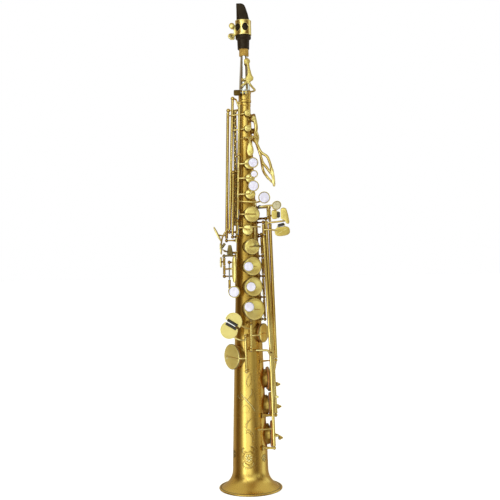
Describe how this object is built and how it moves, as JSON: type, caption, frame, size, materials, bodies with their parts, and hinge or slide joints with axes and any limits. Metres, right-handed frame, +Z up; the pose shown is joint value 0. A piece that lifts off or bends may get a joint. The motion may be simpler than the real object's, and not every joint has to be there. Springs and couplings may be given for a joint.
{
  "type": "soprano saxophone",
  "caption": "Straight soprano saxophone standing on its bell: conical brass body, silver neck, black mouthpiece, sprung keys with pearl touches.",
  "frame": {"origin": "middle of the outline, on the ground under the bell's foot ring", "axes": "+Z up the bore to the mouthpiece tip, -Y the side with the stack keys, +X the side with the low-note cups"},
  "size_m": [0.1099, 0.0911, 0.6956],
  "materials": {
    "key_brass": "polished lacquer",
    "post_brass": "lacquered",
    "satin_brass": "satin lacquer",
    "silver_plate": "polished silver plate",
    "ebonite": "polished hard rubber",
    "cork": "fine cork",
    "nacre": "mother of pearl"
  },
  "bodies": {
    "body": {"body_tube": "satin_brass", "bell_flare": "satin_brass", "neck_receiver": "satin_brass", "neck_tube": "silver_plate", "neck_cork": "cork", "mouthpiece": "ebonite", "ligature": "key_brass", "front_rib": "post_brass", "left_rib": "post_brass", "right_rib": "post_brass", "lower_rib": "post_brass", "lower_left_rib": "post_brass", "palm_posts": "post_brass", "back_rib": "post_brass", "low_key_guard": "post_brass", "thumb_rest": "post_brass", "thumb_hook": "post_brass", "strap_ring": "post_brass"},
    "stack_b": {"stack_b": "key_brass", "pearl_stack_b": "nacre"},
    "stack_c": {"stack_c": "key_brass", "pearl_stack_c": "nacre"},
    "stack_a": {"stack_a": "key_brass", "pearl_stack_a": "nacre"},
    "stack_g": {"stack_g": "key_brass", "pearl_stack_g": "nacre"},
    "g_sharp_key": {"g_sharp_key": "key_brass"},
    "g_sharp_touch": {"g_sharp_touch": "key_brass", "pearl_g_sharp": "nacre"},
    "side_e": {"side_e": "key_brass"},
    "side_c": {"side_c": "key_brass"},
    "side_bb_key": {"side_bb_key": "key_brass"},
    "side_bb_touch": {"side_bb_touch": "key_brass"},
    "high_f_sharp_key": {"high_f_sharp_key": "key_brass"},
    "trill_key": {"trill_key": "key_brass", "pearl_trill": "nacre"},
    "stack_fs": {"stack_fs": "key_brass"},
    "stack_f": {"stack_f": "key_brass", "pearl_stack_f": "nacre"},
    "stack_e": {"stack_e": "key_brass", "pearl_stack_e": "nacre"},
    "stack_d": {"stack_d": "key_brass", "pearl_stack_d": "nacre"},
    "e_flat_key": {"e_flat_key": "key_brass"},
    "low_c_key": {"low_c_key": "key_brass"},
    "low_c_sharp_key": {"low_c_sharp_key": "key_brass"},
    "c_sharp_touch": {"c_sharp_touch": "key_brass"},
    "low_b_key": {"low_b_key": "key_brass"},
    "low_bb_key": {"low_bb_key": "key_brass"},
    "bb_touch": {"bb_touch": "key_brass"},
    "palm_d": {"palm_d": "key_brass"},
    "palm_eb": {"palm_eb": "key_brass"},
    "palm_f": {"palm_f": "key_brass"},
    "front_f_lever": {"front_f_lever": "key_brass"},
    "thumb_octave_lever": {"thumb_octave_lever": "key_brass"},
    "neck_octave_key": {"neck_octave_key": "key_brass"},
    "neck_clamp_screw": {"neck_clamp_screw": "key_brass"},
    "ligature_screw_upper": {"ligature_screw_upper": "key_brass"},
    "ligature_screw_lower": {"ligature_screw_lower": "key_brass"}
  },
  "joints": [
    {"name": "stack_b_hinge", "type": "hinge", "parent": "body", "child": "stack_b", "pos_m": [-0.01617, -0.01809, 0.46575], "axis": [0.0301, 0.0222, 0.9993], "range_deg": [0, 8], "stiffness_Nm_per_rad": 0.02, "springref_deg": -28.65},
    {"name": "stack_c_hinge", "type": "hinge", "parent": "body", "child": "stack_c", "pos_m": [-0.01674, -0.01851, 0.44695], "axis": [0.0301, 0.0222, 0.9993], "range_deg": [0, 8], "stiffness_Nm_per_rad": 0.02, "springref_deg": -28.65},
    {"name": "stack_a_hinge", "type": "hinge", "parent": "body", "child": "stack_a", "pos_m": [-0.01732, -0.01894, 0.4277], "axis": [0.0301, 0.0222, 0.9993], "range_deg": [0, 8], "stiffness_Nm_per_rad": 0.02, "springref_deg": -28.65},
    {"name": "stack_g_hinge", "type": "hinge", "parent": "body", "child": "stack_g", "pos_m": [-0.01808, -0.0195, 0.40255], "axis": [0.0301, 0.0222, 0.9993], "range_deg": [0, 8], "stiffness_Nm_per_rad": 0.02, "springref_deg": -28.65},
    {"name": "g_sharp_key_hinge", "type": "hinge", "parent": "body", "child": "g_sharp_key", "pos_m": [-0.01896, -0.02015, 0.37315], "axis": [-0.0301, -0.0222, -0.9993], "range_deg": [0, 7], "stiffness_Nm_per_rad": 0.02, "springref_deg": -28.65},
    {"name": "g_sharp_touch_hinge", "type": "hinge", "parent": "body", "child": "g_sharp_touch", "pos_m": [0.0243, -0.0205, 0.395], "axis": [-0.0125, 0, 0.9999], "range_deg": [0, 7], "stiffness_Nm_per_rad": 0.02, "springref_deg": -28.65},
    {"name": "side_e_hinge", "type": "hinge", "parent": "body", "child": "side_e", "pos_m": [-0.0328, 0.0015, 0.4495], "axis": [-0.0267, 0, -0.9996], "range_deg": [0, 5], "stiffness_Nm_per_rad": 0.02, "springref_deg": -28.65},
    {"name": "side_c_hinge", "type": "hinge", "parent": "body", "child": "side_c", "pos_m": [-0.0269, -0.00525, 0.4635], "axis": [-0.0387, -0.0078, -0.9992], "range_deg": [0, 5], "stiffness_Nm_per_rad": 0.02, "springref_deg": -28.65},
    {"name": "side_bb_key_hinge", "type": "hinge", "parent": "body", "child": "side_bb_key", "pos_m": [-0.0251, -0.0115, 0.407], "axis": [0.0239, 0.0217, 0.9995], "range_deg": [0, 6], "stiffness_Nm_per_rad": 0.02, "springref_deg": -28.65},
    {"name": "side_bb_touch_hinge", "type": "hinge", "parent": "body", "child": "side_bb_touch", "pos_m": [-0.039, -0.00628, 0.32585], "axis": [0, -0.0345, -0.9994], "range_deg": [0, 6], "stiffness_Nm_per_rad": 0.02, "springref_deg": -28.65},
    {"name": "high_f_sharp_key_hinge", "type": "hinge", "parent": "body", "child": "high_f_sharp_key", "pos_m": [-0.039, -0.00669, 0.3139], "axis": [0, 0.0345, 0.9994], "range_deg": [0, 6], "stiffness_Nm_per_rad": 0.02, "springref_deg": -28.65},
    {"name": "trill_key_hinge", "type": "hinge", "parent": "body", "child": "trill_key", "pos_m": [-0.0315, -0.01739, 0.294], "axis": [0, 0.0125, 0.9999], "range_deg": [0, 8], "stiffness_Nm_per_rad": 0.02, "springref_deg": -28.65},
    {"name": "stack_fs_hinge", "type": "hinge", "parent": "body", "child": "stack_fs", "pos_m": [0.01523, -0.00753, 0.34775], "axis": [0.0264, -0.0083, -0.9996], "range_deg": [0, 8], "stiffness_Nm_per_rad": 0.02, "springref_deg": -28.65},
    {"name": "stack_f_hinge", "type": "hinge", "parent": "body", "child": "stack_f", "pos_m": [0.016, -0.00777, 0.31875], "axis": [0.0264, -0.0083, -0.9996], "range_deg": [0, 8], "stiffness_Nm_per_rad": 0.02, "springref_deg": -28.65},
    {"name": "stack_e_hinge", "type": "hinge", "parent": "body", "child": "stack_e", "pos_m": [0.01677, -0.00802, 0.2895], "axis": [0.0264, -0.0083, -0.9996], "range_deg": [0, 8], "stiffness_Nm_per_rad": 0.02, "springref_deg": -28.65},
    {"name": "stack_d_hinge", "type": "hinge", "parent": "body", "child": "stack_d", "pos_m": [0.01758, -0.00827, 0.25875], "axis": [0.0264, -0.0083, -0.9996], "range_deg": [0, 8], "stiffness_Nm_per_rad": 0.02, "springref_deg": -28.65},
    {"name": "e_flat_key_hinge", "type": "hinge", "parent": "body", "child": "e_flat_key", "pos_m": [-0.00215, -0.0285, 0.22095], "axis": [-0.0132, -0.0263, -0.9996], "range_deg": [0, 7], "stiffness_Nm_per_rad": 0.02, "springref_deg": -28.65},
    {"name": "low_c_key_hinge", "type": "hinge", "parent": "body", "child": "low_c_key", "pos_m": [-0.0098, -0.02925, 0.19645], "axis": [0.0122, -0.0306, -0.9995], "range_deg": [0, 5.5], "stiffness_Nm_per_rad": 0.02, "springref_deg": -28.65},
    {"name": "low_c_sharp_key_hinge", "type": "hinge", "parent": "body", "child": "low_c_sharp_key", "pos_m": [0.02993, -0.00736, 0.283], "axis": [0.028, 0.0138, -0.9995], "range_deg": [0, 6], "stiffness_Nm_per_rad": 0.02, "springref_deg": -28.65},
    {"name": "c_sharp_touch_hinge", "type": "hinge", "parent": "body", "child": "c_sharp_touch", "pos_m": [0.02691, -0.00885, 0.39085], "axis": [-0.028, -0.0138, 0.9995], "range_deg": [0, 6], "stiffness_Nm_per_rad": 0.02, "springref_deg": -28.65},
    {"name": "low_b_key_hinge", "type": "hinge", "parent": "body", "child": "low_b_key", "pos_m": [0.02625, -0.0145, 0.24645], "axis": [-0.0355, -0.0036, 0.9994], "range_deg": [0, 5.5], "stiffness_Nm_per_rad": 0.02, "springref_deg": -28.65},
    {"name": "low_bb_key_hinge", "type": "hinge", "parent": "body", "child": "low_bb_key", "pos_m": [0.0266, -0.0191, 0.13015], "axis": [-0.0232, -0.0073, 0.9997], "range_deg": [0, 5.5], "stiffness_Nm_per_rad": 0.02, "springref_deg": -28.65},
    {"name": "bb_touch_hinge", "type": "hinge", "parent": "body", "child": "bb_touch", "pos_m": [0.0176, -0.019, 0.371], "axis": [-0.02, 0, 0.9998], "range_deg": [0, 5.5], "stiffness_Nm_per_rad": 0.02, "springref_deg": -28.65},
    {"name": "palm_d_hinge", "type": "hinge", "parent": "body", "child": "palm_d", "pos_m": [0.00693, -0.00906, 0.503], "axis": [0.5736, 0.8192, 0], "range_deg": [0, 5], "stiffness_Nm_per_rad": 0.02, "springref_deg": -28.65},
    {"name": "palm_eb_hinge", "type": "hinge", "parent": "body", "child": "palm_eb", "pos_m": [0.01011, -0.00056, 0.494], "axis": [0.0349, 0.9994, 0], "range_deg": [0, 5], "stiffness_Nm_per_rad": 0.02, "springref_deg": -28.65},
    {"name": "palm_f_hinge", "type": "hinge", "parent": "body", "child": "palm_f", "pos_m": [0.00753, 0.00813, 0.503], "axis": [-0.515, 0.8572, 0], "range_deg": [0, 5], "stiffness_Nm_per_rad": 0.02, "springref_deg": -28.65},
    {"name": "front_f_lever_hinge", "type": "hinge", "parent": "body", "child": "front_f_lever", "pos_m": [-0.00203, -0.01721, 0.501], "axis": [0.9744, 0.225, 0], "range_deg": [0, 5], "stiffness_Nm_per_rad": 0.02, "springref_deg": -28.65},
    {"name": "thumb_octave_lever_hinge", "type": "hinge", "parent": "body", "child": "thumb_octave_lever", "pos_m": [-0.0154, 0.0162, 0.491], "axis": [-0.02, 0.0366, -0.9991], "range_deg": [0, 6], "stiffness_Nm_per_rad": 0.02, "springref_deg": -28.65},
    {"name": "neck_octave_key_hinge", "type": "hinge", "parent": "body", "child": "neck_octave_key", "pos_m": [-0.003, -0.012, 0.585], "axis": [1, 0, 0], "range_deg": [0, 4], "stiffness_Nm_per_rad": 0.02, "springref_deg": -28.65},
    {"name": "neck_clamp_screw_turn", "type": "hinge", "parent": "body", "child": "neck_clamp_screw", "pos_m": [-0.0077, -0.0118, 0.566], "axis": [1, 0, 0], "range_deg": [0, 360]},
    {"name": "ligature_screw_upper_turn", "type": "hinge", "parent": "body", "child": "ligature_screw_upper", "pos_m": [-0.0226, -0.0007, 0.6625], "axis": [0, -1, 0], "range_deg": [0, 360]},
    {"name": "ligature_screw_lower_turn", "type": "hinge", "parent": "body", "child": "ligature_screw_lower", "pos_m": [-0.0242, -0.0007, 0.6476], "axis": [0, -1, 0], "range_deg": [0, 360]}
  ],
  "couplings": [
    {"joint": "g_sharp_key_hinge", "follows": "g_sharp_touch_hinge", "ratio": 1},
    {"joint": "side_bb_key_hinge", "follows": "side_bb_touch_hinge", "ratio": 1},
    {"joint": "low_c_sharp_key_hinge", "follows": "c_sharp_touch_hinge", "ratio": 1},
    {"joint": "low_bb_key_hinge", "follows": "bb_touch_hinge", "ratio": 1},
    {"joint": "stack_fs_hinge", "follows": "stack_f_hinge", "ratio": 1},
    {"joint": "neck_octave_key_hinge", "follows": "thumb_octave_lever_hinge", "ratio": 0.6666}
  ]
}
